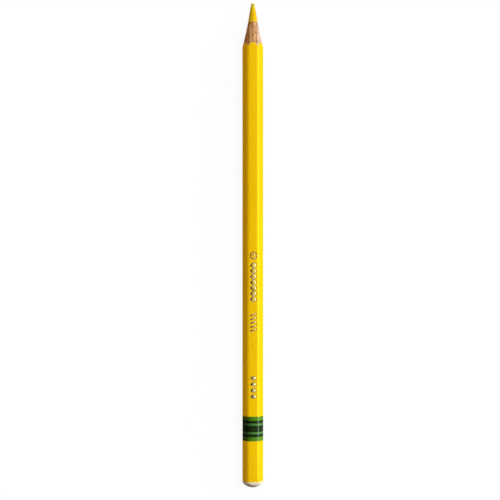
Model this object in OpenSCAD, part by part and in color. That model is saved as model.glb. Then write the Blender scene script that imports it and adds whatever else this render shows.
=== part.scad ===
// Hexagonal wooden colored pencil, lying on one flat.
// The barrel runs along X with the sharpened tip towards +X. The origin is on the
// surface that the pencil lies on, under the middle of its length.

/* [Barrel] */
// Length of the pencil, from its domed end to its tip
pencil_len = 175; // [130:1:190]
// Width of the barrel across its flats
across_flats = 6.9; // [6.6:0.1:7.8]
// Radius of the barrel's six rounded edges
edge_r = 1.3; // [0.8:0.1:1.6]
// Thickness of the lacquer on the wood
coat_t = 0.12; // [0.1:0.01:0.2]

/* [Core] */
// Diameter of the colored core
core_d = 3.4; // [2:0.1:4]

/* [Point] */
// Length of the point, from the tip to where the cut leaves the barrel's edges
point_len = 16; // [12:0.1:20]
// Radius of the blunted tip
tip_r = 0.6; // [0.4:0.05:0.9]
// Rounding of the tip's rim
nose_r = 0.2; // [0.1:0.05:0.3]
// Depth to which the flank is ground hollow, halfway along the point
hollow = 0.23; // [0:0.01:0.35]
// Fullness left on the softer core, halfway up its part of the flank
core_belly = 0.08; // [0:0.01:0.1]

/* [Domed end] */
// Length of the dipped cap along the barrel
cap_len = 2.3; // [1.95:0.05:6]
// Height of the dome, from its top to the barrel's edges
dome_h = 1.9; // [1:0.1:1.9]
// Thickness of the cap over the end of the wood
cap_t = 0.25; // [0.15:0.01:0.5]

/* [Painted rings] */
// Distance from the domed end to the first ring
rings_from = 17; // [7:0.1:20]
// Width of the two outer green rings
green_outer_w = 1.5; // [0.5:0.1:2]
// Width of the two inner green rings
green_inner_w = 0.8; // [0.5:0.1:1.5]
// Width of the two outer black rings
black_outer_w = 1; // [0.5:0.1:1.5]
// Width of the middle black ring
black_middle_w = 2.3; // [0.5:0.1:3]
// Thickness of the paint in the rings
ring_t = 0.05; // [0.03:0.01:0.06]

/* [Foil stamp] */
// Depth of the stamped recess in the lacquer
stamp_depth = 0.06; // [0.05:0.01:0.08]
// Thickness of the foil on the recess's floor
foil_t = 0.02; // [0.01:0.01:0.02]
// Width of the stamped marks across the barrel
stamp_w = 2.3; // [1.8:0.1:2.4]
// Distance by which the stamped row is off the middle of its facet
stamp_shift = 0.2; // [0:0.05:0.2]
// Width of a stamped line
foil_line = 0.42; // [0.3:0.02:0.5]
// Bare stretch between the painted rings and the row of small diamonds
diamonds_gap = 6.5; // [2:0.1:8]
// Bare stretch between the diamonds and the slanted bars
bars_gap = 16; // [4:0.1:18]
// Bare stretch between the bars and the row of hollow lozenges
lozenges_gap = 3.9; // [2:0.1:5]
// Bare stretch between the lozenges and the rosette
rosette_gap = 1; // [0.6:0.1:2]

/* [Hidden] */
NODES = [
    "core", "casing_lower", "casing_upper", "lacquer", "end_cap",
    "green_ring_1", "black_ring_1", "green_ring_2", "black_ring_2",
    "green_ring_3", "black_ring_3", "green_ring_4",
    "foil_rosette", "foil_lozenges", "foil_bars", "foil_diamonds"
];
$fn = 96;

// Distance from the axis to the centre of a rounded edge, and to its outside
edge_at = (across_flats / 2 - edge_r) / cos(30);
reach = edge_at + edge_r;
// Each rounded edge stands this little proud, so that its arc crosses the flats cleanly
edge_lap = 0.0005;
ring_widths = [
    green_outer_w, black_outer_w, green_inner_w, black_middle_w,
    green_inner_w, black_outer_w, green_outer_w
];
ring_names = [for (i = [0:6]) NODES[5 + i]];
flank_steps = 18;
nose_steps = 6;
spare = 2;
lozenge_count = 7;
lozenge_pitch = 2.04;
lozenge_len = 2;
bar_count = 5;
bar_pitch = 1.4;
bar_lean = 20;
diamond_count = 4;
diamond_pitch = 2.2;
diamond_len = 1.4;
petal_count = 12;
petal_len = 0.5;
rosette_r = stamp_w * 0.62;

// Lengths of the rows of marks along the barrel, then the places of their middles,
// counted from the domed end
diamonds_len = (diamond_count - 1) * diamond_pitch + diamond_len;
bars_len = (bar_count - 1) * bar_pitch + foil_line * cos(bar_lean) + stamp_w * sin(bar_lean);
lozenges_len = (lozenge_count - 1) * lozenge_pitch + lozenge_len;
diamonds_at = rings_from + sum(ring_widths, 7) + diamonds_gap + diamonds_len / 2;
bars_at = diamonds_at + diamonds_len / 2 + bars_gap + bars_len / 2;
lozenges_at = bars_at + bars_len / 2 + lozenges_gap + lozenges_len / 2;
rosette_at = lozenges_at + lozenges_len / 2 + rosette_gap + rosette_r;

function sum(list, count) = count == 0 ? 0 : list[count - 1] + sum(list, count - 1);

// Radius of the sphere whose cap has the height h and the base radius r
function dome_radius(h, r) = (h * h + r * r) / (2 * h);

// Radius of the flank at a share s of the way from the tip to the shoulder: ground hollow,
// with the core's part a little fuller
function ground(s) = tip_r + (reach - tip_r) * s - 4 * hollow * s * (1 - s);
function core_share(r) = min(1, (r - tip_r) / (core_d / 2 - tip_r));
function belly(share) = 16 * core_belly * pow(share * (1 - share), 2);
function flank(s) = ground(s) + belly(core_share(ground(s)));

// The barrel's section, inset by the thickness of what lies over it: three bars across
// its flats, and a disc at each of its six rounded edges
module rounded_hex(inset) {
    width = across_flats - 2 * inset;
    for (turn = [0:60:120]) rotate(turn) square([width, edge_at * 2 * sin(30)], center = true);
    for (turn = [30:60:330]) rotate(turn) translate([edge_at, 0]) circle(edge_r - inset + edge_lap);
}

// Stretch of hexagonal bar along Z
module bar(inset, from, to) {
    translate([0, 0, from]) linear_extrude(to - from) rounded_hex(inset);
}

// Half outline of the point: the hollow flank, then the rounded rim of the blunt tip
module point_outline() {
    lean = atan((reach - tip_r - 4 * hollow) / point_len);
    rim_r = tip_r + nose_r * tan(lean) - nose_r / cos(lean);
    first = 1.15;
    last = nose_r * (1 - sin(lean)) / point_len;
    polygon(concat(
        [[0, pencil_len / 2], [across_flats, pencil_len / 2]],
        [[across_flats, pencil_len - first * point_len]],
        [for (i = [0:flank_steps]) let (s = first + (last - first) * i / flank_steps)
            [flank(s), pencil_len - s * point_len]],
        [for (i = [1:nose_steps]) let (turn = lean + (90 - lean) * i / nose_steps)
            [rim_r + nose_r * cos(turn), pencil_len - nose_r + nose_r * sin(turn)]],
        [[0, pencil_len]]
    ));
}

// Ball that rounds the end of an inset bar: its top is at z = top, and it meets the
// bar's edges at z = dome_h
module end_ball(inset, top) {
    r = dome_radius(dome_h - top, reach - inset);
    rotate_extrude() intersection() {
        translate([0, top + r]) circle(r);
        translate([0, top]) square([r, 2 * r]);
    }
}

// Space that a layer of the finished pencil fills along Z, from its rounded end to its tip
module turned_blank(inset, top) {
    end_ball(inset, top);
    equator = top + dome_radius(dome_h - top, reach - inset);
    from = (dome_h + equator) / 2;
    rotate_extrude() {
        translate([0, from]) square([across_flats, pencil_len / 2 + spare - from]);
        point_outline();
    }
}

// Lays a pencil that stands along Z down on a flat, with its tip towards +X
module lay_down() {
    translate([-pencil_len / 2, 0, across_flats / 2]) rotate([0, 90, 0]) children();
}

// Places a flat mark on the upper facet, at a distance from the domed end
module on_top(at, from, height) {
    translate([at - pencil_len / 2, -stamp_shift, from]) linear_extrude(height) children();
}

// ---- stamped marks, drawn with X along the barrel ----

module lozenge(len, w) {
    polygon([[-len / 2, 0], [0, -w / 2], [len / 2, 0], [0, w / 2]]);
}

module rosette_mark() {
    circle(foil_line * 0.8);
    for (i = [0:petal_count - 1])
        rotate(360 * i / petal_count)
            translate([rosette_r - petal_len / 2, 0]) lozenge(petal_len, foil_line * 1.2);
}

module lozenges_mark() {
    wall = 2 * foil_line;
    for (i = [0:lozenge_count - 1])
        translate([(i - (lozenge_count - 1) / 2) * lozenge_pitch, 0]) difference() {
            lozenge(lozenge_len, stamp_w);
            lozenge(lozenge_len - wall * 1.25, stamp_w - wall * 1.45);
        }
}

module bars_mark() {
    for (i = [0:bar_count - 1])
        translate([(i - (bar_count - 1) / 2) * bar_pitch, 0]) rotate(bar_lean)
            square([foil_line, stamp_w], center = true);
}

module diamonds_mark() {
    for (i = [0:diamond_count - 1])
        translate([(i - (diamond_count - 1) / 2) * diamond_pitch, 0])
            lozenge(diamond_len, stamp_w * 0.9);
}

module foil(at) {
    color("#d9bf86") on_top(at, across_flats - stamp_depth, foil_t) children();
}

// ---- the pencil's pieces ----

module core() {
    color("#dca50c") lay_down() intersection() {
        cylinder(h = pencil_len, d = core_d);
        turned_blank(coat_t, cap_t);
    }
}

// Grooved slat: half of the wooden casing, on one side of the glued plane
module casing(side) {
    color("#c99f70") intersection() {
        lay_down() difference() {
            intersection() {
                bar(coat_t, 0, pencil_len);
                turned_blank(coat_t, cap_t);
            }
            translate([0, 0, -spare]) cylinder(h = pencil_len + 2 * spare, d = core_d);
        }
        translate([0, 0, across_flats / 2 + side * across_flats / 2])
            cube([pencil_len + spare, 2 * across_flats, across_flats], center = true);
    }
}

// Coat over the wood, cut back to scallops by the point, with a channel for the
// rings and recesses for the foil
module lacquer() {
    color("#f2bf0a") difference() {
        lay_down() difference() {
            intersection() {
                bar(0, cap_len, pencil_len);
                turned_blank(0, 0);
            }
            bar(coat_t, 0, pencil_len + spare);
            band(rings_from, sum(ring_widths, 7));
        }
        on_top(rosette_at, across_flats - stamp_depth, spare) rosette_mark();
        on_top(lozenges_at, across_flats - stamp_depth, spare) lozenges_mark();
        on_top(bars_at, across_flats - stamp_depth, spare) bars_mark();
        on_top(diamonds_at, across_flats - stamp_depth, spare) diamonds_mark();
    }
}

module end_cap() {
    color("#ece2c4") lay_down() difference() {
        intersection() {
            bar(0, -spare, cap_len);
            end_ball(0, 0);
        }
        intersection() {
            bar(coat_t, 0, cap_len + spare);
            end_ball(coat_t, cap_t);
        }
    }
}

// Thin band of paint that follows the hexagon, flush with the lacquer
module band(from, width) {
    difference() {
        bar(0, from, from + width);
        bar(ring_t, from - spare, from + width + spare);
    }
}

module ring(i) {
    color(i % 2 == 0 ? "#3f8a2c" : "#1a2115")
        lay_down() band(rings_from + sum(ring_widths, i), ring_widths[i]);
}

core();
casing(-1);  // casing_lower
casing(1);  // casing_upper
lacquer();
end_cap();
for (i = [0:6]) ring(i);
foil(rosette_at) rosette_mark();  // foil_rosette
foil(lozenges_at) lozenges_mark();  // foil_lozenges
foil(bars_at) bars_mark();  // foil_bars
foil(diamonds_at) diamonds_mark();  // foil_diamonds
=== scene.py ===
# A hexagonal colored pencil that lies along X, tip towards +X, stamped facet up.
# Shapes are worked out in millimetres, and become metres where a mesh is made.

import math

import bpy
import numpy as np
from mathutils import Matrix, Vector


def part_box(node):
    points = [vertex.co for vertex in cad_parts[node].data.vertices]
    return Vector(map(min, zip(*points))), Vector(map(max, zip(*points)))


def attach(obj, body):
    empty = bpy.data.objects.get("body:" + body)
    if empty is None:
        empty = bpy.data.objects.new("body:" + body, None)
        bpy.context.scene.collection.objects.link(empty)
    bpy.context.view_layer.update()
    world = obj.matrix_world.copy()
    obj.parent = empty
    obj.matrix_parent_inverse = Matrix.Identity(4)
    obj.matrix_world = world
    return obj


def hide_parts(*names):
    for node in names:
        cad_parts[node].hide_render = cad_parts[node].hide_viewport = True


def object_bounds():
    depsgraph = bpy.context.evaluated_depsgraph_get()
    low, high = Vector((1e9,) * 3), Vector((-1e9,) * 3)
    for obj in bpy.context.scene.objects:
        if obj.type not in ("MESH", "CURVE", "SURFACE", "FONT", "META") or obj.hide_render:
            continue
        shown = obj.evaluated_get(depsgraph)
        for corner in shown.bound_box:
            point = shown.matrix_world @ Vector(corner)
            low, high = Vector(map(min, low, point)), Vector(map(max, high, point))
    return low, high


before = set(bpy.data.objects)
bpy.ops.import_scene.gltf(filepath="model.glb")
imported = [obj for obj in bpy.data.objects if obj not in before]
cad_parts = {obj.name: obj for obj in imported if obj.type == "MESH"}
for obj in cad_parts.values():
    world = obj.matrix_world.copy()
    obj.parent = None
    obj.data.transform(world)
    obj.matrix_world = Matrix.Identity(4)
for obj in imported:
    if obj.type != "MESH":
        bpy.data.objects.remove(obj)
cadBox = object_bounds()
mm = 0.001
hair = 0.001  # millimetres that keep the surfaces of touching pieces apart


def span(node):
    # a CAD node's lowest and highest corners
    low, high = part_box(node)
    return np.array(low) / mm, np.array(high) / mm


bluntX = cadBox[0].x / mm
tipX = cadBox[1].x / mm
axisZ = (cadBox[0].z + cadBox[1].z) / 2 / mm

barrel = {
    "acrossFlats": (cadBox[1].z - cadBox[0].z) / mm,
    "edgeRadius": 1.3,  # rounding of the six long edges
    "crown": 4.5,  # degrees by which a facet's surface turns on each side of its middle
    "coat": 0.12,  # thickness of the lacquer
    "capEnd": span("end_cap")[1][0],  # where the dipped cap stops
    "facetColumns": 0.3,  # how close the columns are on a facet, next to those on an edge
    "stampedMargin": 9,  # degrees past the stamped facet where its closer columns go on
}
point = {
    "length": 16.0,
    "tipRadius": 0.6,
    "noseRadius": 0.2,  # rounding of the blunted tip's rim
    "hollow": 0.23,  # how far the flank is ground hollow, halfway along
    "belly": 0.08,  # fullness left on the softer core
}
print("frame loaded:", len(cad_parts), "CAD nodes")
print("pencil from", round(bluntX, 2), "to", round(tipX, 2), "mm")


# The section is a rounded hexagon with slightly convex facets. Its curve is the integral of
# radius * tangent over the angle of the normal: the radius is edgeRadius all round, and each
# facet adds a raised-cosine bump of the facet's length around its own normal.
stepsPerDegree = 20
turns = np.linspace(0, 2 * np.pi, 360 * stepsPerDegree + 1)
fromFacet = (np.degrees(turns) % 60) - 30
onFacet = abs(fromFacet) < barrel["crown"]
bump = np.where(onFacet, 1 + np.cos(np.pi * fromFacet / barrel["crown"]), 0)
bump = bump / (2 * np.radians(barrel["crown"]))
facetY = np.concatenate([[0], np.cumsum(-bump[1:] * np.sin(turns[1:]))]) * turns[1]
facetZ = np.concatenate([[0], np.cumsum(bump[1:] * np.cos(turns[1:]))]) * turns[1]
facetY -= (facetY.max() + facetY.min()) / 2
facetZ -= (facetZ.max() + facetZ.min()) / 2
# height over the axis of the centres of the stamped facet's rounded edges
edgeCentre = barrel["acrossFlats"] / 2 - barrel["edgeRadius"]
facetLength = edgeCentre / facetZ.max()
# distance of the outline's outermost points from the axis, with a trace to spare
reach = hair / 2 + barrel["edgeRadius"] + edgeCentre / math.cos(math.radians(30))


def section(angle, inset):
    # point of the barrel's outline whose normal has this angle, moved inwards by inset
    y = facetLength * np.interp(angle, turns, facetY)
    z = facetLength * np.interp(angle, turns, facetZ)
    rest = barrel["edgeRadius"] - inset
    return y + rest * np.cos(angle), z + rest * np.sin(angle)


def columns(count, stamped=1.0):
    # angles of the normal, evenly spaced along the outline but wider apart on the facets, and
    # closer by the factor stamped on the stamped facet and beside it
    length = barrel["edgeRadius"] + facetLength * bump
    weight = np.where(onFacet, barrel["facetColumns"], 1.0)
    beside = abs(np.degrees(turns) - 90) < barrel["crown"] + barrel["stampedMargin"]
    weight = np.where(beside, stamped, weight)
    total = np.concatenate([[0], np.cumsum((length * weight)[1:])])
    share = np.linspace(0, total[-1], count, endpoint=False)
    return np.interp(share, total, turns)


def flankRadius(s):
    # radius of the hollow-ground point at a share s of its length, from the tip: a straight
    # slope, less a parabola that is as deep as the hollow halfway
    rise = (reach - point["tipRadius"]) * s
    return point["tipRadius"] + rise - 4 * point["hollow"] * s * (1 - s)


def flankShare(radius):
    # the share of the point's length at which its flank has this radius: the root of the
    # quadratic that flankRadius is
    bend = 4 * point["hollow"]
    slope = reach - point["tipRadius"] - bend
    return (np.sqrt(slope**2 + 4 * bend * (radius - point["tipRadius"])) - slope) / (2 * bend)


def flankX(s):
    # X at a share s of the point's length, from the tip
    return tipX - s * point["length"]


def smoothStep(value):
    # 0 below 0, 1 above 1, and between them a cubic that is level at both ends
    t = np.clip(value, 0, 1)
    return t * t * (3 - 2 * t)


def softNoise(along, around, cells, seed):
    # random heights from -1 to 1 at whole steps of both parameters, joined by smooth steps;
    # around runs from 0 to 1 and closes on itself after the given number of cells
    rows = 512  # steps of along before the heights repeat
    heights = np.random.default_rng(seed).uniform(-1, 1, (rows, cells))
    turn = np.mod(around, 1) * cells
    row, column = np.floor(along).astype(int), np.floor(turn).astype(int)
    a, b = smoothStep(along - row), smoothStep(turn - column)
    left, right = column % cells, (column + 1) % cells
    near = heights[row % rows, left] * (1 - b) + heights[row % rows, right] * b
    far = heights[(row + 1) % rows, left] * (1 - b) + heights[(row + 1) % rows, right] * b
    return near * (1 - a) + far * a


def gridFaces(rows, count, closeRows, closeColumns):
    # quads between neighbouring rows and columns of a grid of points
    r = np.arange(rows if closeRows else rows - 1)[:, None]
    c = np.arange(count if closeColumns else count - 1)[None, :]
    nextR, nextC = (r + 1) % rows, (c + 1) % count
    corners = [r * count + c, r * count + nextC, nextR * count + nextC, nextR * count + c]
    return np.stack(np.broadcast_arrays(*corners), axis=-1).reshape(-1, 4)


def stackRows(rows):
    # a list of rows, each of them a tuple of arrays, as one grid for each place in the tuple
    return [np.vstack(arrays) for arrays in zip(*rows)]


def skin(x, y, z, closeRows=False, closeColumns=True, startPole=None, endPole=None, endCaps=False):
    # points and faces of one closed surface over a grid; a pole closes the first or last row
    # with a fan, and endCaps closes the first and last column with a flat face each
    x, y, z = np.broadcast_arrays(x, y, z)
    rows, count = x.shape
    points = np.stack([x, y, z], axis=-1).reshape(-1, 3)
    faces = gridFaces(rows, count, closeRows, closeColumns).tolist()
    loop = np.arange(count)
    if startPole is not None:
        pole = len(points)
        points = np.vstack([points, startPole])
        faces += np.stack([np.full(count, pole), np.roll(loop, -1), loop], axis=-1).tolist()
    if endPole is not None:
        pole = len(points)
        points = np.vstack([points, endPole])
        last = (rows - 1) * count + loop
        faces += np.stack([np.full(count, pole), last, np.roll(last, -1)], axis=-1).tolist()
    if endCaps:
        faces.append((np.arange(rows) * count).tolist())
        faces.append((np.arange(rows)[::-1] * count + count - 1).tolist())
    return points, faces


def joinParts(parts):
    # several surfaces as one list of points and one of faces
    points, faces, start = [], [], 0
    for partPoints, partFaces in parts:
        points.append(partPoints)
        faces += [[start + corner for corner in face] for face in partFaces]
        start += len(partPoints)
    return np.vstack(points), faces


def signedVolume(points, faces):
    # six times the volume inside the faces, below zero where they point inwards
    corners = np.array([[f[0], f[i], f[i + 1]] for f in faces for i in range(1, len(f) - 1)])
    a, b, c = points[corners[:, 0]], points[corners[:, 1]], points[corners[:, 2]]
    return np.einsum("ij,ij->i", a, np.cross(b, c)).sum()


def makePiece(name, surface, material, node, layer=None):
    # a mesh in metres that stands for a CAD node and rides with it
    points, faces = surface
    if signedVolume(points, faces) < 0:
        faces = [face[::-1] for face in faces]
    mesh = bpy.data.meshes.new(name)
    mesh.from_pydata((points * mm).tolist(), [], faces)
    mesh.polygons.foreach_set("use_smooth", np.ones(len(faces), bool))
    if layer is not None:
        depth = mesh.attributes.new("layer", "FLOAT", "POINT")
        depth.data.foreach_set("value", np.asarray(layer, np.float32).ravel())
    mesh.materials.append(material)
    mesh.validate()
    mesh.update()
    piece = bpy.data.objects.new(name, mesh)
    bpy.context.scene.collection.objects.link(piece)
    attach(piece, "root")
    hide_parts(node)
    print(f"{name}: {len(points)} points, {len(faces)} faces")


class Wire:
    # an output socket of a node tree, or the bare tree; arithmetic on a socket adds Math nodes
    def __init__(self, tree, socket=None):
        self.tree = tree
        self.socket = socket

    def node(self, kind, settings, values, out=0):
        # a new node of this kind: its settings first, then its sockets' values and links
        made = self.tree.nodes.new(kind)
        for name, setting in settings.items():
            setattr(made, name, setting)
        for name, value in values.items():
            if isinstance(value, Wire):
                self.tree.links.new(value.socket, made.inputs[name])
            else:
                made.inputs[name].default_value = value
        return Wire(self.tree, made.outputs[out])

    def maths(self, operation, *values):
        return self.node("ShaderNodeMath", {"operation": operation}, dict(enumerate(values)))

    def __add__(self, other):
        return self.maths("ADD", self, other)

    def __radd__(self, other):
        return self.maths("ADD", other, self)

    def __sub__(self, other):
        return self.maths("SUBTRACT", self, other)

    def __rsub__(self, other):
        return self.maths("SUBTRACT", other, self)

    def __mul__(self, other):
        return self.maths("MULTIPLY", self, other)

    def __rmul__(self, other):
        return self.maths("MULTIPLY", other, self)

    def __truediv__(self, other):
        return self.maths("DIVIDE", self, other)

    def __rtruediv__(self, other):
        return self.maths("DIVIDE", other, self)

    def __abs__(self):
        return self.maths("ABSOLUTE", self)

    def atLeast(self, other):
        # the larger of two values
        return self.maths("MAXIMUM", self, other)

    def ramp(self, low, high):
        # 0 below low, 1 above high, with a smooth step between
        values = {"Value": self, "From Min": low, "From Max": high}
        return self.node("ShaderNodeMapRange", {"interpolation_type": "SMOOTHSTEP"}, values)

    def blend(self, low, high):
        # a colour that goes from low to high as this value goes from 0 to 1
        low, high = [c if isinstance(c, Wire) else (*c, 1.0) for c in (low, high)]
        return self.node("ShaderNodeMix", {"data_type": "RGBA"}, {0: self, 6: low, 7: high}, 2)

    def noise(self, size, stretch, detail, roughness=0.5):
        # cloudy values around 0.5 whose blobs are about size millimetres, drawn out by stretch
        scale = tuple(1 / (mm * size * s) for s in stretch)
        spot = self.node("ShaderNodeMapping", {}, {"Vector": self, "Scale": scale})
        values = {"Vector": spot, "Scale": 1.0, "Detail": detail, "Roughness": roughness}
        return self.node("ShaderNodeTexNoise", {"noise_dimensions": "3D"}, values, "Fac")

    def axis(self, name):
        return self.node("ShaderNodeSeparateXYZ", {}, {"Vector": self}, name)


def newMaterial(name, even):
    # a material, its Principled shader with the even values set, and its Object coordinates
    material = bpy.data.materials.new(name)
    material.use_nodes = True
    tree = material.node_tree
    shader = tree.nodes["Principled BSDF"]
    for socket, value in even.items():
        shader.inputs[socket].default_value = value
    place = Wire(tree).node("ShaderNodeTexCoord", {}, {}, "Object")
    return material, shader, place


def feed(shader, socket, wire):
    wire.tree.links.new(wire.socket, shader.inputs[socket])


def relief(shader, height):
    # bumps the surface by a height in millimetres
    feed(shader, "Normal", height.node("ShaderNodeBump", {}, {"Height": height, "Distance": mm}))


# In the dictionaries of finishes a pattern is what Wire.noise takes: its size in millimetres,
# how far it is drawn out along each axis, and its detail. A pair is the two ends of a ramp.
# Uneven is how far a pattern moves the roughness, and wander how far it moves an edge.
lacquerLook = {
    "yellow": (0.90, 0.54, 0.001),
    "deep": (0.85, 0.485, 0.0005),
    "undercoatAndShade": (0.66, 0.38, 0.08),  # bared on the cut face; on the stamped rims it is painted shade that darkens the recesses
    "recessShade": (0.08, 0.03, 0.007),  # painted shade in the stamped recesses and at the foot of the cut face
    "roughness": 0.3,
    "uneven": 0.1,
    "cutRoughness": 0.35,  # how much rougher the cut face is
    "specular": 0.0,
    "pearl": 0.01,  # trace of metallic, which gives the gloss the lacquer's own colour
    "varnish": 0.04,  # weight of the clear varnish over it
    "varnishRoughness": 0.5,
    "clouds": (9, (6, 1, 1), 3),
    "draws": (0.5, (60, 1, 1), 2),  # fine lines along the barrel
    "peel": (1.3, (2.5, 1, 1), 2),  # soft unevenness of thick paint
    "patches": (0.8, (1, 1, 1), 2),
    "deepAt": (0.3, 0.75),
    "undercoatAndShadeAt": (0.05, 0.7),
    "recessShadeAt": (0.72, 0.98),
    "patchesAt": (0.45, 0.6),
    "recessShadeShare": 0.45,  # least strength of the painted shade
    "recessShadePatches": 0.5,  # strength that the patches add to it
    "drawHeight": 0.0012,
    "peelHeight": 0.004,
}


def makeLacquerMaterial():
    look = lacquerLook
    even = {
        "Specular IOR Level": look["specular"],
        "Metallic": look["pearl"],
        "Coat Weight": look["varnish"],
        "Coat Roughness": look["varnishRoughness"],
    }
    material, shader, place = newMaterial("yellowLacquer", even)
    clouds = place.noise(*look["clouds"])
    draws = place.noise(*look["draws"])
    peel = place.noise(*look["peel"])
    colour = clouds.ramp(*look["deepAt"]).blend(look["yellow"], look["deep"])
    depth = place.node("ShaderNodeAttribute", {"attribute_name": "layer"}, {}, "Fac")
    # the undercoat on the cut face, and painted shade on the stamped rims
    colour = depth.ramp(*look["undercoatAndShadeAt"]).blend(colour, look["undercoatAndShade"])
    patches = place.noise(*look["patches"]).ramp(*look["patchesAt"])
    # painted shade, darker deep in the stamped recesses and at the foot of the cut face, patchy in
    # strength
    recessShade = depth.ramp(*look["recessShadeAt"]) * (look["recessShadeShare"] + look["recessShadePatches"] * patches)
    feed(shader, "Base Color", recessShade.blend(colour, look["recessShade"]))
    rough = look["roughness"] + look["uneven"] * (clouds - 0.5)
    feed(shader, "Roughness", rough + look["cutRoughness"] * depth)
    relief(shader, look["drawHeight"] * draws + look["peelHeight"] * peel)
    return material


ring = {
    "depth": 0.05,  # thickness of the paint in the rings
    "wave": 0.035,  # how far a ring's edge wavers along the barrel
    "columns": 150,
    "rim": ((0.001, 0.012), (0.012, 0.005), (0.05, 0.0015), (0.15, 0)),  # distance in, and depth
    "middleRows": (0.35, 0.5, 0.65),  # shares of the ring's width
}
ringNames = [f"{('green', 'black')[i % 2]}_ring_{i // 2 + 1}" for i in range(7)]
ringEdges = [span(ringNames[0])[0][0]] + [span(name)[1][0] for name in ringNames]


def ringEdge(index, angle):
    # where a painted ring ends: a coarse and a fine wave around the barrel
    turn = angle / (2 * np.pi)
    wave = softNoise(index + 0.5, turn, cells=7, seed=11)
    wave = wave + 0.5 * softNoise(index + 0.5, turn, cells=19, seed=12)
    return ringEdges[index] + ring["wave"] * wave


stamp = {
    "depth": 0.06,  # depth of the stamped recess
    "foil": 0.02,  # thickness of the foil in it
    "line": 0.42,  # width of a stroke
    "shoulder": 0.2,  # width of the recess's rounded rim
    "inside": 0.15,  # share of that rim that lies within the mark's outline
    "layerRate": 1.8,  # how fast the layer rises with the recess's depth, darkening the rim there as painted shade
    "gap": 0.05,  # bare rim of the recess that the foil leaves open
    "slip": 0.05,  # how far the foil sits towards +Y in its recess
    "step": 0.08,  # spacing of the lacquer's rows along a mark
}
stampLow, stampHigh = span("foil_lozenges")
stampWidth = stampHigh[1] - stampLow[1]
stampMiddle = (stampLow[1] + stampHigh[1]) / 2


def markRows(node):
    # X of the lacquer's rows along a mark and its rims
    low, high = span(node)
    rim = 2 * stamp["shoulder"]
    count = int(math.ceil((high[0] - low[0] + 2 * rim) / stamp["step"]))
    return np.linspace(low[0] - rim, high[0] + rim, count)


# Each stamped mark is a list of shapes (middle along X, middle across, half length, half width,
# power, turn, hole). A shape is a superellipse: the sum of |u / half length| and |v / half width|
# to the power is at most 1. Power 1 is a lozenge, 2 an ellipse, 10 nearly a rectangle. A hole is
# the pair of half sizes of a like shape cut from its middle, or None.
def alongRow(node, count, pitch, shape):
    # the same shape count times, evenly spaced about the middle of a node
    low, high = span(node)
    middle, across = (low[0] + high[0]) / 2, (low[1] + high[1]) / 2
    return [(middle + (i - (count - 1) / 2) * pitch, across, *shape) for i in range(count)]


rosette = {
    "petals": 12,
    "length": 0.5,
    "halfWidth": 0.6 * stamp["line"],
    "power": 1.15,
    "radius": 0.62 * stampWidth,  # of the wreath, to the petals' outer ends
    "dot": 0.8 * stamp["line"],  # radius of the dot in the middle
}


def rosetteShapes():
    # a dot, and petals in a wreath round it that point away from it
    dot, petal = rosette["dot"], rosette["length"] / 2
    shapes = alongRow("foil_rosette", 1, 0, (dot, dot, 2, 0, None))
    away = rosette["radius"] - petal
    for i in range(rosette["petals"]):
        turn = 2 * math.pi * i / rosette["petals"]
        place = shapes[0][0] + away * math.cos(turn), shapes[0][1] + away * math.sin(turn)
        shapes.append((*place, petal, rosette["halfWidth"], rosette["power"], turn, None))
    return shapes


lozenges = {
    "count": 7,
    "pitch": 2.04,
    "halfLength": 1.0,
    "power": 1.3,
    "endWall": 1.25 * stamp["line"],
    "sideWall": 1.45 * stamp["line"],
}


def lozengeShapes():
    size = lozenges["halfLength"], stampWidth / 2
    hole = size[0] - lozenges["endWall"], size[1] - lozenges["sideWall"]
    shape = (*size, lozenges["power"], 0, hole)
    return alongRow("foil_lozenges", lozenges["count"], lozenges["pitch"], shape)


bars = {"count": 5, "pitch": 1.4, "power": 10, "lean": 20}  # lean in degrees


def barShapes():
    size = stamp["line"] / 2, stampWidth / 2
    shape = (*size, bars["power"], math.radians(bars["lean"]), None)
    return alongRow("foil_bars", bars["count"], bars["pitch"], shape)


diamonds = {"count": 4, "pitch": 2.2, "halfLength": 0.7, "halfWidth": 0.45 * stampWidth, "power": 1.7}


def diamondShapes():
    shape = (diamonds["halfLength"], diamonds["halfWidth"], diamonds["power"], 0, None)
    return alongRow("foil_diamonds", diamonds["count"], diamonds["pitch"], shape)


marks = {
    "foil_rosette": rosetteShapes(),
    "foil_lozenges": lozengeShapes(),
    "foil_bars": barShapes(),
    "foil_diamonds": diamondShapes(),
}


def outsideBy(x, y, shape):
    # distance of points from a stamped shape, below zero inside it: the superellipse's value
    # less 1, over the length of its gradient
    cx, cy, a, b, power, turn, hole = shape
    u = (x - cx) * math.cos(turn) + (y - cy) * math.sin(turn)
    v = (y - cy) * math.cos(turn) - (x - cx) * math.sin(turn)
    tiny = 1e-4  # keeps the gradient finite on the shape's own axes

    def distance(a, b):
        p, q = np.maximum(abs(u) / a, tiny), np.maximum(abs(v) / b, tiny)
        value = (p**power + q**power) ** (1 / power)
        slope = value ** (1 - power) * np.hypot(p ** (power - 1) / a, q ** (power - 1) / b)
        return (value - 1) / slope

    outside = distance(a, b)
    return outside if hole is None else np.maximum(outside, -distance(*hole))


def recess(x, y):
    # depth of the stamped recesses at points of the upper facet
    outside = np.full(np.broadcast(x, y).shape, np.inf)
    for shapes in marks.values():
        for shape in shapes:
            outside = np.minimum(outside, outsideBy(x, y, shape))
    return stamp["depth"] * (1 - smoothStep(outside / stamp["shoulder"] + stamp["inside"]))


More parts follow.
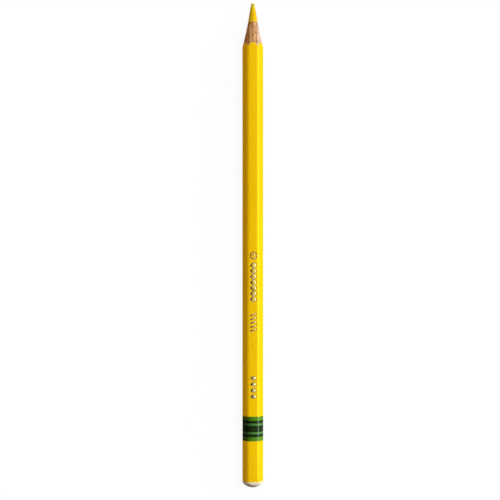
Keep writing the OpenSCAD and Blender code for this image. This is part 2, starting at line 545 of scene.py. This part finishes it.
coat = {
    "columns": 132,
    "stampedColumns": 4.0,  # how much closer the columns are on the stamped facet
    "pressedMargin": 20,  # degrees past the stamped facet in which the recesses may press
    "capLip": ((0, 0.03), (0.015, 0.008), (0.06, 0)),  # distance from the cap, and depth
    # distance in from the rings' outer edges, and depth
    "ringLip": ((-0.12, 0), (-0.03, 0.003), (0, 0.014), (0.002, ring["depth"])),
    "bluntRows": (3, 7, 11),  # distances of plain rows from the cap
    "plainStart": 2,  # distance of the next plain row from the rings
    "plainStep": 4.0,
    "plainGap": 1.0,  # how far a plain row stays from the rows of a mark
    "scallopFrom": 62.0,  # X from which the rows lean into the scallops
    "scallopRows": 25,
    "scallopEase": 2.2,  # how much closer these rows get towards the cut
    "cutRows": (0.03, 0.35, 0.68, 0.97, 1.0),  # shares of the way down the cut face
    "rootRow": 0.4,  # distance of the first inner row from the foot of the cut face
    "chip": 0.16,  # how far the cut edge has flaked back at most
    "chipAtRoot": 0.8,  # share of the flaking that reaches the foot of the cut face
    "ragged": 0.25,  # share of the flaking that is fine, the rest being larger chips
    "innerRows": (62.0, -40.0),  # X of plain rows on the inside
}


def flakes(angle):
    # how far the cut edge of the lacquer has flaked back from the point's cone: fine
    # raggedness, and chips where a coarser noise is high
    turn = angle / (2 * np.pi)
    rough = 0.5 + 0.5 * softNoise(0.5, turn, cells=90, seed=21)
    chips = smoothStep(softNoise(0.5, turn, cells=23, seed=22) * 2 - 0.7)
    return coat["chip"] * (coat["ragged"] * rough + (1 - coat["ragged"]) * chips)


def makeLacquer():
    # The outer surface runs from the cap to the scalloped cut, the cut face slopes in to the
    # wood, and the inner surface runs back: one closed loop of rows, carried round the section.
    # A row is X and the depth under the outline. The layer is 0 on the surface and 1 where the
    # coat is cut or pressed right down.
    angle = columns(coat["columns"], coat["stampedColumns"])[None, :]
    across = np.ones_like(angle)
    thick = barrel["coat"] * across
    outerR = np.hypot(*section(angle, 0))
    innerR = np.hypot(*section(angle, barrel["coat"]))
    cut = flankX(flankShare(outerR)) - flakes(angle)
    root = flankX(flankShare(innerR)) - coat["chipAtRoot"] * flakes(angle)
    start = barrel["capEnd"]
    first, last = ringEdge(0, angle), ringEdge(7, angle)

    rows = [((start + x) * across, d * across) for x, d in coat["capLip"]]
    rows += [((start + x) * across, 0 * across) for x in coat["bluntRows"]]
    rows += [(first + x, d * across) for x, d in coat["ringLip"]]
    rows += [(last - x, d * across) for x, d in coat["ringLip"][::-1]]
    stamped = np.concatenate([markRows(node) for node in marks])
    plain = np.arange(ringEdges[7] + coat["plainStart"], coat["scallopFrom"], coat["plainStep"])
    away = np.min(abs(plain[:, None] - stamped[None, :]), axis=1)
    plain = plain[away > coat["plainGap"]]
    y = section(angle, 0)[0]
    onTop = abs(angle - np.pi / 2) < math.radians(barrel["crown"] + coat["pressedMargin"])
    rowsBefore = len(rows)
    for x in np.sort(np.concatenate([plain, stamped])):
        rows.append((x * across, np.where(onTop, recess(x * across, y), 0)))
    pressed = slice(rowsBefore, len(rows))
    for t in np.linspace(0, 1, coat["scallopRows"] + 1)[1:]:
        share = 1 - (1 - t) ** coat["scallopEase"]
        rows.append((coat["scallopFrom"] + share * (cut - coat["scallopFrom"]), 0 * across))
    rowsBefore = len(rows)
    rows += [(cut + share * (root - cut), share * thick) for share in coat["cutRows"]]
    cutFace = slice(rowsBefore, len(rows))
    rows += [(root - coat["rootRow"], thick)]
    rows += [(x * across, thick) for x in (*coat["innerRows"], start)]
    x, inset = stackRows(rows)
    y, z = section(angle, inset)
    layer = np.zeros_like(x)
    layer[pressed] = np.minimum(1, stamp["layerRate"] * inset[pressed] / stamp["depth"])
    layer[cutFace] = np.array(coat["cutRows"])[:, None]
    return skin(x, y, z + axisZ, closeRows=True), layer


lacquerSurface, lacquerLayer = makeLacquer()
makePiece(
    "lacquer_coat", lacquerSurface, makeLacquerMaterial(), "lacquer", lacquerLayer
)

ringLook = {
    "green": (0.112, 0.275, 0.014),
    "greenDeep": (0.068, 0.205, 0.012),
    "inner": (0.09, 0.245, 0.055),
    "innerDeep": (0.05, 0.165, 0.04),
    "black": (0.008, 0.022, 0.004),
    "blackThin": (0.022, 0.045, 0.009),
    "shadedSide": 0.64,  # painted shade: how much darker the paint is made on the +Y side
    "shadedSideAt": (-1.2, 2.4),  # Y over which the painted shade comes in
    "wander": 0.8,
    "roughness": 0.24,
    "uneven": 0.12,
    "specular": 0.006,
    "gloss": 0.07,  # weight of the clear coat where the paint is worn smooth, on the -Y side
    "dullAt": (-1.2, 0.6),  # Y over which the gloss ends
    "streaks": (0.35, (0.6, 1, 1), 3),
    "clouds": (2.2, (0.5, 1, 1), 2),
    "mottleAt": (0.35, 0.7),
    "streakHeight": 0.0015,
    "cloudHeight": 0.004,
}


def makeRingMaterial(name, base, mottle):
    look = ringLook
    even = {"Specular IOR Level": look["specular"], "Coat Roughness": look["roughness"]}
    material, shader, place = newMaterial(name, even)
    streaks = place.noise(*look["streaks"])
    clouds = place.noise(*look["clouds"])
    side = place.axis("Y") / mm
    colour = (0.6 * streaks + 0.4 * clouds).ramp(*look["mottleAt"]).blend(base, mottle)
    # painted shade: the paint is made darker towards the +Y side
    shadedSideMask = (side + look["wander"] * (clouds - 0.5)).ramp(*look["shadedSideAt"])
    feed(shader, "Base Color", (look["shadedSide"] * shadedSideMask).blend(colour, (0, 0, 0)))
    feed(shader, "Coat Weight", look["gloss"] * (1 - side.ramp(*look["dullAt"])))
    feed(shader, "Roughness", look["roughness"] + look["uneven"] * (clouds - 0.5))
    relief(shader, look["streakHeight"] * streaks + look["cloudHeight"] * clouds)
    return material


greenPaint = makeRingMaterial("greenPaint", ringLook["green"], ringLook["greenDeep"])
innerPaint = makeRingMaterial("innerGreenPaint", ringLook["inner"], ringLook["innerDeep"])
blackPaint = makeRingMaterial("blackPaint", ringLook["black"], ringLook["blackThin"])


def makeRing(index):
    # a band of paint: its rounded profile along X, carried round the section
    angle = columns(ring["columns"])[None, :]
    start, end = ringEdge(index, angle), ringEdge(index + 1, angle)
    rim = [(0.0, ring["depth"]), *ring["rim"]]
    across = np.ones_like(angle)
    rows = [(start + x, d * across) for x, d in rim]
    rows += [(start + share * (end - start), 0 * across) for share in ring["middleRows"]]
    rows += [(end - x, d * across) for x, d in rim[::-1]]
    x, inset = stackRows(rows)
    y, z = section(angle, inset)
    return skin(x, y, z + axisZ, closeRows=True)


for index, node in enumerate(ringNames):
    if node.startswith("black"):
        paint, slot = blackPaint, "black_paint"
    elif node in ("green_ring_2", "green_ring_3"):
        paint, slot = innerPaint, "green_paint"
    else:
        paint, slot = greenPaint, "green_paint"
    makePiece(f"painted_{node}", makeRing(index), paint, node)

cap = {
    "domeHeight": 1.9,
    "thickness": 0.25,
    "rounding": 0.22,  # radius by which the dome's rim is softened
    "columns": 150,
    "domeRows": 30,
    "rimRows": 8,
    "innerRows": 10,
    "lip": ((0.3, 0), (0.06, 0), (0.015, 0.008), (0.0, 0.03)),  # distance from its end, and depth
}
capLook = {
    "ivory": (0.86, 0.80, 0.58),
    "shade": (0.70, 0.61, 0.42),
    "crown": (0.22, 0.125, 0.045),  # painted shade: what the ivory darkens to at the dome's top
    "crownShadeShare": 0.95,
    "shadeSideReach": 0.3,  # how much further the painted shade reaches on the +Y side
    "wander": 0.8,
    "rub": (0.36, 0.15, 0.08),
    "rubShare": 0.7,
    "roughness": 0.35,
    "rubRoughness": 0.3,  # how much rougher the rubbed spots are
    "specular": 0.004,
    "clouds": (1.6, (1, 1, 1), 3),
    "specks": (0.4, (1, 1, 1), 4, 0.7),
    "shadeAt": (0.35, 0.7),
    "shadeEndAt": (0.1, 1.7),  # distance from the dome's top over which the painted shade ends
    "rubAt": (0.56, 0.68),
    "rubEnd": (0.4, 1.5),  # the same for the rubbed spots
    "cloudHeight": 0.01,
    "rubDepth": 0.012,
}


def ballRadius(height, radius):
    # radius of the ball of which a dome of this height and base radius is a cap
    return (height**2 + radius**2) / (2 * height)


def domeX(radius, ball, top):
    # X of a ball's surface at this distance from the axis, when its crown is at bluntX + top
    return bluntX + top + ball - np.sqrt(np.maximum(ball**2 - radius**2, 0))


outerBall = ballRadius(cap["domeHeight"], reach)
innerBall = ballRadius(cap["domeHeight"] - cap["thickness"], reach - barrel["coat"])


def makeCap():
    # Outer shell: the ball's crown, scaled out from the axis, a rim rounded by a parabola, and
    # the barrel's wall. Inner shell: back up the coat's inside and in to the axis over the
    # inner ball. One skin from pole to pole.
    angle = columns(cap["columns"])[None, :]
    across = np.ones_like(angle)
    sideY, sideZ = section(angle, 0)
    radius = np.hypot(sideY, sideZ)
    rimX = domeX(radius, outerBall, 0)
    soft = np.minimum(cap["rounding"], 0.8 * (barrel["capEnd"] - rimX))  # within the wall
    crownK = 1 - cap["rounding"] / radius  # share of the outline where the rounding starts
    rows = []
    for share in np.linspace(0.06, 1, cap["domeRows"]):
        k = share * crownK
        rows.append((domeX(k * radius, outerBall, 0), k * sideY, k * sideZ))
    crownX = rows[-1][0]
    for t in np.linspace(0, 1, cap["rimRows"] + 1)[1:]:
        k = (1 - t) ** 2 * crownK + 2 * t * (1 - t) + t * t
        x = (1 - t) ** 2 * crownX + 2 * t * (1 - t) * rimX + t * t * (rimX + soft)
        rows.append((x, k * sideY, k * sideZ))
    for x, d in cap["lip"]:
        y, z = section(angle, d * across)
        rows.append((np.maximum(barrel["capEnd"] - x, rimX + soft + hair), y, z))
    innerY, innerZ = section(angle, barrel["coat"])
    rows.append((barrel["capEnd"] * across, innerY, innerZ))
    innerR = np.hypot(innerY, innerZ)
    for k in np.linspace(1, 0.1, cap["innerRows"]):
        rows.append((domeX(k * innerR, innerBall, cap["thickness"]), k * innerY, k * innerZ))
    x, y, z = stackRows(rows)
    start, end = [bluntX, 0, axisZ], [bluntX + cap["thickness"], 0, axisZ]
    return skin(x, y, z + axisZ, startPole=start, endPole=end)


def makeCapMaterial():
    look = capLook
    material, shader, place = newMaterial("capPaint", {"Specular IOR Level": look["specular"]})
    clouds = place.noise(*look["clouds"])
    specks = place.noise(*look["specks"])
    away = place.axis("X") / mm - bluntX
    colour = clouds.ramp(*look["shadeAt"]).blend(look["ivory"], look["shade"])
    # painted shade: darker towards the dome's top and towards the +Y side
    shadeDistance = away - look["shadeSideReach"] * place.axis("Y") / mm
    paintedCapShade = 1 - (shadeDistance + look["wander"] * (clouds - 0.5)).ramp(*look["shadeEndAt"])
    colour = (look["crownShadeShare"] * paintedCapShade).blend(colour, look["crown"])
    rubbed = (specks * 0.7 + clouds * 0.3).ramp(*look["rubAt"]) * (1 - away.ramp(*look["rubEnd"]))
    colour = (rubbed * look["rubShare"]).blend(colour, look["rub"])
    feed(shader, "Base Color", colour)
    feed(shader, "Roughness", look["roughness"] + look["rubRoughness"] * rubbed)
    relief(shader, look["cloudHeight"] * clouds - look["rubDepth"] * rubbed)
    return material


makePiece("dipped_cap", makeCap(), makeCapMaterial(), "end_cap")

core = {
    "radius": (span("core")[1][2] - span("core")[0][2]) / 2,
    "uneven": 0.03,  # how far the core is out of round
    "wear": 0.012,  # height of the scrape marks on its point
    "scrapes": 40,  # scrape marks along the point
    "fineScrapes": 90,
    "twist": 0.15,  # turns by which the marks wind round the point
    "columns": 128,
    "domeRows": 8,
    "straightRows": (-60, 20, 70),  # X of plain rows along the rod
    "pointRows": 110,
    "noseRows": 8,
}


def boreRadius(turn):
    # radius of the core and of the groove that holds it, a little out of round
    return core["radius"] + core["uneven"] * softNoise(3.5, turn, cells=13, seed=31)


def makeCore():
    # A lathe shape: the ball-shaped hidden end, the rod, the hollow flank and the blunted tip.
    # A row is X and the radius. The belly adds its height times 16 (share * (1 - share))^2,
    # which is 1 where the flank is halfway between the tip's radius and the core's.
    turn = np.linspace(0, 1, core["columns"], endpoint=False)[None, :]
    bore = boreRadius(turn)
    across = np.ones_like(turn)
    rows = []
    for k in np.linspace(0.1, 1, core["domeRows"]):
        rows.append((domeX(k * bore, innerBall, cap["thickness"]), k * bore))
    rows += [(x * across, bore) for x in core["straightRows"]]
    nose, tip = point["noseRadius"], point["tipRadius"]
    lean = math.atan((reach - tip - 4 * point["hollow"]) / point["length"])
    rim = tip + nose * math.tan(lean) - nose / math.cos(lean)  # radius of the nose's centres
    noseShare = nose * (1 - math.sin(lean)) / point["length"]
    boreShare = flankShare(bore)
    for t in np.linspace(0, 1, core["pointRows"]):
        s = boreShare + (noseShare - boreShare) * t
        scrape = softNoise(core["scrapes"] * t, turn + core["twist"] * t, cells=9, seed=32)
        scrape = scrape + 0.5 * softNoise(core["fineScrapes"] * t, turn, cells=5, seed=33)
        ease = smoothStep(t * 30) * smoothStep((1 - t) * 12)  # no marks at either end
        share = np.clip((flankRadius(s) - tip) / (bore - tip), 0, 1)
        full = flankRadius(s) + 16 * point["belly"] * (share * (1 - share)) ** 2
        rows.append((flankX(s), full - core["wear"] * ease * (1 + scrape) / 2))
    for t in np.linspace(0, 1, core["noseRows"] + 1)[1:]:
        a = lean + (math.pi / 2 - lean) * t
        rows.append(((tipX - nose + nose * math.sin(a)) * across, (rim + nose * math.cos(a)) * across))
    for k in (0.75, 0.5, 0.25):
        rows.append((tipX * across, rim * k * across))
    x, radius = stackRows(rows)
    y, z = radius * np.cos(2 * np.pi * turn), radius * np.sin(2 * np.pi * turn)
    start, end = [bluntX + cap["thickness"], 0, axisZ], [tipX, 0, axisZ]
    return skin(x, y, z + axisZ, startPole=start, endPole=end)


coreLook = {
    "yellow": (0.71, 0.46, 0.007),
    "dark": (0.65, 0.36, 0.004),
    "tip": (0.57, 0.47, 0.04),  # a colder yellow over the last two millimetres
    "tipFrom": 2.6,  # distance from the tip where it starts
    "tipFull": 0.6,  # and where it is full
    "dust": (0.62, 0.36, 0.12),  # wood dust on the core beside the wood
    "dustShare": 0.6,
    "dustWidth": 0.4,
    "wander": 0.5,
    "roughness": 0.5,
    "uneven": 0.3,
    "specular": 0.004,
    "pearl": 0.01,
    "rings": (0.22, (1, 12, 12), 3),
    "grains": (0.12, (1, 1, 1), 2),
    "clouds": (1.4, (2, 1, 1), 2),
    "darkAt": (0.35, 0.68),
    "ringHeight": 0.02,
    "grainHeight": 0.006,
}
woodEnd = flankX(flankShare(core["radius"]))  # X at which the core comes out of the wood


def makeCoreMaterial():
    look = coreLook
    even = {"Specular IOR Level": look["specular"], "Metallic": look["pearl"]}
    material, shader, place = newMaterial("pigmentCore", even)
    rings = place.noise(*look["rings"])
    grains = place.noise(*look["grains"])
    clouds = place.noise(*look["clouds"])
    along = place.axis("X") / mm
    colour = (0.5 * rings + 0.5 * clouds).ramp(*look["darkAt"]).blend(look["yellow"], look["dark"])
    tip = along.ramp(tipX - look["tipFrom"], tipX - look["tipFull"])
    colour = tip.blend(colour, look["tip"])
    ragged = along + look["wander"] * (grains - 0.5)
    dust = 1 - ragged.ramp(woodEnd - 0.05, woodEnd + look["dustWidth"])
    feed(shader, "Base Color", (dust * look["dustShare"]).blend(colour, look["dust"]))
    feed(shader, "Roughness", look["roughness"] + look["uneven"] * (rings - 0.5))
    relief(shader, look["ringHeight"] * rings + look["grainHeight"] * grains)
    return material


makePiece("pigment_core", makeCore(), makeCoreMaterial(), "core")

wood = {
    "fibre": 0.016,  # height of the fibres that stand up on the cut
    "seam": 0.02,  # depth of the fine groove where the two slats meet
    "seamWidth": 0.06,
    "seamRadius": 3,  # distance from the axis at which the seam is that wide
    "columns": 300,
    "outerRows": (-60, 20, 64),  # X of plain rows along a slat's outside
    "pointRows": 120,
    "boreRows": (60, -60),  # X of plain rows along its groove
}


def makeCasing(side):
    # Half of the casing. A loop of rows runs out along the slat's outside, up the cone to the
    # core, and back along the groove; it is carried round half a turn and closed flat at both
    # ends, on the glued plane. A row is X and the distance from the axis.
    full = columns(wood["columns"])
    half = full[full < np.pi]
    half = np.concatenate([[0], half[1:], [np.pi]])[None, :]
    angle = half if side > 0 else half + np.pi
    y, z = section(angle, barrel["coat"] + hair)
    z = np.where(abs(z) < 1e-6, 0, z)
    # angle about the axis: 0 to half a turn on the upper slat, half to a whole turn on the lower
    theta = np.arctan2(z, y)
    theta = np.where(theta < -1e-9, theta + 2 * np.pi, np.maximum(theta, 0))
    if side < 0:
        theta = np.where(theta < 1, 2 * np.pi, theta)
    turn = theta / (2 * np.pi)
    outer = np.hypot(y, z)
    bore = boreRadius(turn) + hair
    across = np.ones_like(angle)
    fromSeam = np.minimum(turn % 0.5, 0.5 - turn % 0.5) * 2 * np.pi * wood["seamRadius"]
    seam = np.exp(-((fromSeam / wood["seamWidth"]) ** 2))
    rows = [(domeX(outer, innerBall, cap["thickness"]), outer)]
    rows += [(x * across, outer) for x in wood["outerRows"]]
    outerShare, boreShare = flankShare(outer), flankShare(bore)
    for t in np.linspace(0, 1, wood["pointRows"]):
        s = outerShare + (boreShare - outerShare) * t
        grain = softNoise(9 * t, turn, cells=150, seed=41 + side)
        grain = grain + 0.7 * softNoise(30 * t, turn, cells=60, seed=51 + side)
        lift = wood["fibre"] * grain * smoothStep(t * 25) * smoothStep((1 - t) * 20)
        rows.append((flankX(s), flankRadius(s) + lift - wood["seam"] * seam))
    rows += [(x * across, bore) for x in wood["boreRows"]]
    for k in (1, 0.75, 0.5, 0.25):
        middle = bore + (outer - bore) * (1 - k)
        rows.append((domeX(middle, innerBall, cap["thickness"]), middle))
    x, radius = stackRows(rows)
    y, z = radius * np.cos(theta), radius * np.sin(theta)
    return skin(x, y, z + axisZ, closeRows=True, closeColumns=False, endCaps=True)


woodLook = {
    "pale": (0.64, 0.355, 0.15),
    "mid": (0.37, 0.15, 0.04),
    "dark": (0.12, 0.042, 0.014),
    "paleLitSide": (0.71, 0.55, 0.41),  # painted light: the wood made paler on the -Y side, where the light falls
    "paleLitShare": 0.75,
    "poreShare": 0.8,
    "grainLines": ((0.13, 0.5), (-1.3, 0.22), (1.5, 0.45)),  # place across, and strength
    "lineAt": (0.03, 0.25),  # distance from a line's middle over which it fades
    "smear": 0.75,  # how strongly the core's pigment is smeared over the wood beside it
    "smearWidth": 0.45,
    "wander": 0.5,
    "lineWander": 0.3,
    "roughness": 0.7,
    "uneven": 0.2,
    "specular": 0.03,
    "rings": (0.9, (10, 1, 1), 3),
    "fibres": (0.22, (14, 1, 1), 3),
    "pores": (0.3, (9, 1, 1), 1),
    "midAt": (0.41, 0.59),
    "paleLitEnd": (-2.3, -0.7),  # Y over which the painted light ends
    "poresAt": (0.55, 0.68),
    "poreWalls": (0.55, 0.7),
    "grainHeight": 0.05,
}


def makeWoodMaterial(name, shift):
    look = woodLook
    material, shader, place = newMaterial(name, {"Specular IOR Level": look["specular"]})
    plank = place.node("ShaderNodeMapping", {}, {"Vector": place, "Location": shift})
    rings = plank.noise(*look["rings"])
    fibres = plank.noise(*look["fibres"])
    pores = plank.noise(*look["pores"])
    across = place.axis("Y") / mm + look["lineWander"] * (rings - 0.5)
    colour = (0.5 * rings + 0.5 * fibres).ramp(*look["midAt"]).blend(look["pale"], look["mid"])
    # painted light: paler towards the -Y side, where the light falls
    paleLitMask = 1 - (across + rings - 0.5).ramp(*look["paleLitEnd"])
    colour = (look["paleLitShare"] * paleLitMask).blend(colour, look["paleLitSide"])
    for spot, strength in look["grainLines"]:
        beside = abs(across - spot).ramp(*look["lineAt"])
        colour = (strength - strength * beside).blend(colour, look["dark"])
    colour = (pores.ramp(*look["poresAt"]) * look["poreShare"]).blend(colour, look["dark"])
    ragged = place.axis("X") / mm + look["wander"] * (rings - 0.5)
    smear = look["smear"] * ragged.ramp(woodEnd - look["smearWidth"], woodEnd - 0.1)
    feed(shader, "Base Color", smear.blend(colour, coreLook["dark"]))
    feed(shader, "Roughness", look["roughness"] + look["uneven"] * (fibres - 0.5))
    hollows = pores.ramp(*look["poreWalls"])
    relief(shader, look["grainHeight"] * fibres - look["grainHeight"] * hollows)
    return material


# side, node, and how far the slat's grain is moved so that the two differ
slats = ((1, "casing_upper", (0, 0, 0)), (-1, "casing_lower", (0.07, 0.02, 0.03)))
for side, node, shift in slats:
    grain = makeWoodMaterial(f"{node}Grain", shift)
    makePiece(f"cedar_{node}", makeCasing(side), grain, node)

foilLook = {
    "gold": (0.76, 0.61, 0.23),
    # tarnish in spots, which also serves as painted shade
    "tarnish": (0.10, 0.045, 0.012),
    "lean": 0.08,  # painted shade: how much darker the foil is made towards +Y
    "rim": 0.35,  # painted shade: how much darker the foil is made at both ends of a mark, across the barrel
    "roughness": 0.36,
    "uneven": 0.3,
    "curl": 0.055,  # how strongly the foil curls down towards both sides of the facet
    "clouds": (0.42, (1, 1, 1), 3),
    "grain": (0.12, (2, 1, 1), 3),
    "wornAt": (0.59, 0.67),
    "wornSide": (1.12, 1.3),  # distance towards -Y over which the foil has come off
    "rimAt": (0.75, 1.15),  # distance to either side over which the rim's tarnish comes in
    "tarnishAt": (0.47, 0.59),
    "cloudHeight": 0.012,
    "grainHeight": 0.004,
}
leaf = {
    "points": 96,  # round the outline
    # pairs of the share of the way out from the middle or the hole, and of the foil's thickness
    "back": ((0.3, 0.0), (0.7, 0.0)),
    "front": ((1.0, 0.0), (1.0, 0.55), (0.985, 0.85), (0.95, 1.0), (0.7, 1.0), (0.4, 1.0), (0.15, 1.0)),
    "hole": ((0.05, 0.85), (0.015, 0.55), (0.0, 0.0), (0.5, 0.0)),
}
topAngles = np.linspace(np.pi, 0, 180 * 10 + 1)
topY, topZ = section(topAngles, 0)


def facetHeight(y):
    # height of the upper facet over the axis, at a distance y across it
    return np.interp(y, topY, topZ)


def foilShape(shape):
    # one leaf of foil: the shape's outline scaled towards its middle or its hole, rounded down
    # at its rim, lying on the floor of the recess
    cx, cy, a, b, power, turn, hole = shape
    a, b, cy = a - stamp["gap"], b - stamp["gap"], cy + stamp["slip"]
    t = np.linspace(0, 2 * np.pi, leaf["points"], endpoint=False)[None, :]
    cos, sin = np.cos(t), np.sin(t)
    away = (abs(cos) ** power + abs(sin) ** power) ** (-1 / power)
    outerU, outerV = a * away * cos, b * away * sin
    holeA, holeB = hole or (0, 0)
    innerU, innerV = holeA * away * cos, holeB * away * sin
    if hole is None:
        profile = leaf["back"] + leaf["front"]
    else:
        profile = leaf["front"] + leaf["hole"]
    share, height = np.hsplit(np.array(profile), 2)
    u = innerU + share * (outerU - innerU)
    v = innerV + share * (outerV - innerV)
    x = cx + u * math.cos(turn) - v * math.sin(turn)
    y = cy + u * math.sin(turn) + v * math.cos(turn)
    floor = facetHeight(y) - stamp["depth"] + hair
    z = axisZ + floor + stamp["foil"] * height
    if hole is not None:
        return skin(x, y, z, closeRows=True)
    middle = axisZ + facetHeight(cy) - stamp["depth"] + hair
    start, end = [cx, cy, middle], [cx, cy, middle + stamp["foil"]]
    return skin(x, y, z, startPole=start, endPole=end)


def makeFoilMaterial():
    look = foilLook
    material, shader, place = newMaterial("stampedFoil", {})
    clouds = place.noise(*look["clouds"])
    grain = place.noise(*look["grain"])
    spots = 0.6 * clouds + 0.4 * grain
    side = place.axis("Y") / mm
    off = side - stampMiddle
    worn = spots.ramp(*look["wornAt"]).atLeast((0 - off).ramp(*look["wornSide"]))
    # tarnish in spots, and painted shade towards +Y and at both ends of a mark
    tarnishAndShadeMask = spots + look["lean"] * off + look["rim"] * abs(off).ramp(*look["rimAt"])
    colour = tarnishAndShadeMask.ramp(*look["tarnishAt"]).blend(look["gold"], look["tarnish"])
    feed(shader, "Base Color", worn.blend(colour, lacquerLook["deep"]))
    feed(shader, "Metallic", 1 - worn)
    feed(shader, "Roughness", look["roughness"] + look["uneven"] * (grain - 0.5))
    curl = look["curl"] * side * side
    relief(shader, look["cloudHeight"] * clouds + look["grainHeight"] * grain - curl)
    return material


foil = makeFoilMaterial()
for node, shapes in marks.items():
    leaves = joinParts([foilShape(shape) for shape in shapes])
    makePiece(f"stamped_{node}", leaves, foil, node)

studio = {
    "keyStrength": 3.35,
    "keyElevation": 42,  # degrees above the floor
    "keyTurn": 22,  # degrees from the -Y side towards the tip
    "keyWidth": 80,  # degrees across the light
    "keyColour": (0.78, 1.0, 1.12),
    "glintStrength": 13.0,  # a lamp for the gloss alone, a line along the barrel
    "glintElevation": 18,
    "glintTurn": 0,
    "glintWidth": 20,
    "horizon": 0.93,
    "zenith": 0.10,
    "skyTop": 0.95,  # height, from 0 to 1, where the sky is as dark as at the zenith
    "lean": 0.5,  # how much brighter the sky is on the -Y side than on the other
    "leanAlong": 0.85,  # how much brighter it is towards +X than towards -X
    "warmth": (1.21, 0.77, 0.58),
    "floorRadius": 12.0,  # metres
    "floorSides": 96,
    "floorTone": 0.5,
    "floorWhite": 1.01,
    "floorShadow": 0.08,  # share of the floor's white that shadows can take away
}


def makeSun(name):
    # a lamp that shines from the -Y side, turned towards the tip
    strength, width = studio[name + "Strength"], studio[name + "Width"]
    elevation, turn = studio[name + "Elevation"], studio[name + "Turn"]
    lamp = bpy.data.lights.new(name, "SUN")
    lamp.energy = strength
    lamp.angle = math.radians(width)
    sun = bpy.data.objects.new(name, lamp)
    sun.rotation_euler = (math.radians(90 - elevation), 0, math.radians(turn))
    bpy.context.scene.collection.objects.link(sun)
    return sun


def makeFloorMaterial():
    # looks nearly white to the camera, but throws only floorTone of the light at the pencil
    material = bpy.data.materials.new("paleFloor")
    material.use_nodes = True
    tree = material.node_tree
    tree.nodes.remove(tree.nodes["Principled BSDF"])
    camera, glossy, through = [
        Wire(tree).node("ShaderNodeLightPath", {}, {}, f"Is {kind} Ray")
        for kind in ("Camera", "Glossy", "Transmission")
    ]
    seen = (camera + glossy + through).ramp(0, 1)
    tone, shadow = studio["floorTone"], studio["floorShadow"]
    glow = {"Color": (1, 1, 1, 1), "Strength": studio["floorWhite"] - shadow}
    plain = seen.node("ShaderNodeBsdfDiffuse", {}, {"Color": (tone, tone, tone, 1)})
    matte = seen.node("ShaderNodeBsdfDiffuse", {}, {"Color": (shadow, shadow, shadow, 1)})
    shown = seen.node("ShaderNodeEmission", {}, glow)
    shown = seen.node("ShaderNodeAddShader", {}, {0: matte, 1: shown})
    mixed = seen.node("ShaderNodeMixShader", {}, {0: seen, 1: plain, 2: shown})
    tree.links.new(mixed.socket, tree.nodes["Material Output"].inputs["Surface"])
    return material


def makeFloor():
    # a flat disc: radius times sine and cosine of the turn
    sides = studio["floorSides"]
    turn = np.linspace(0, 2 * np.pi, sides, endpoint=False)
    rim = np.stack([np.cos(turn), np.sin(turn), 0 * turn], axis=-1) * studio["floorRadius"]
    mesh = bpy.data.meshes.new("floor")
    mesh.from_pydata(rim.tolist(), [], [list(range(sides))])
    mesh.materials.append(makeFloorMaterial())
    floor = bpy.data.objects.new("floor", mesh)
    bpy.context.scene.collection.objects.link(floor)


def makeWorld():
    # a soft sky that is pale at the horizon and dark overhead
    world = bpy.data.worlds.new("studio")
    world.use_nodes = True
    bpy.context.scene.world = world
    tree = world.node_tree
    sky = Wire(tree).node("ShaderNodeTexCoord", {}, {}, "Generated")
    height = sky.axis("Z").ramp(0.0, studio["skyTop"])
    level = studio["horizon"] + (studio["zenith"] - studio["horizon"]) * height
    level = level * (1 - studio["lean"] * sky.axis("Y") + studio["leanAlong"] * sky.axis("X"))
    background = tree.nodes["Background"]
    tree.links.new(level.socket, background.inputs["Strength"])
    background.inputs["Color"].default_value = (*studio["warmth"], 1)


lens = {
    "focal": 100,
    "sensor": 36,
    "distance": 0.5027,  # metres, as the places below
    "height": 0.00345,
    "x": -0.00168,
    "y": 0.00103,
}


def makeCamera():
    # looks straight down, with the pencil's tip at the top of the picture
    data = bpy.data.cameras.new("camera")
    data.lens = lens["focal"]
    data.sensor_width = lens["sensor"]
    camera = bpy.data.objects.new("camera", data)
    camera.location = (lens["x"], lens["y"], lens["height"] + lens["distance"])
    camera.rotation_euler = (0, 0, math.radians(-90))
    bpy.context.scene.collection.objects.link(camera)
    bpy.context.scene.camera = camera


makeFloor()
makeWorld()
key = makeSun("key")
key.data.color = studio["keyColour"]
glint = makeSun("glint")
glint.visible_diffuse = False
makeCamera()
bpy.context.scene.view_settings.view_transform = "Standard"
print("floor, light and camera made")
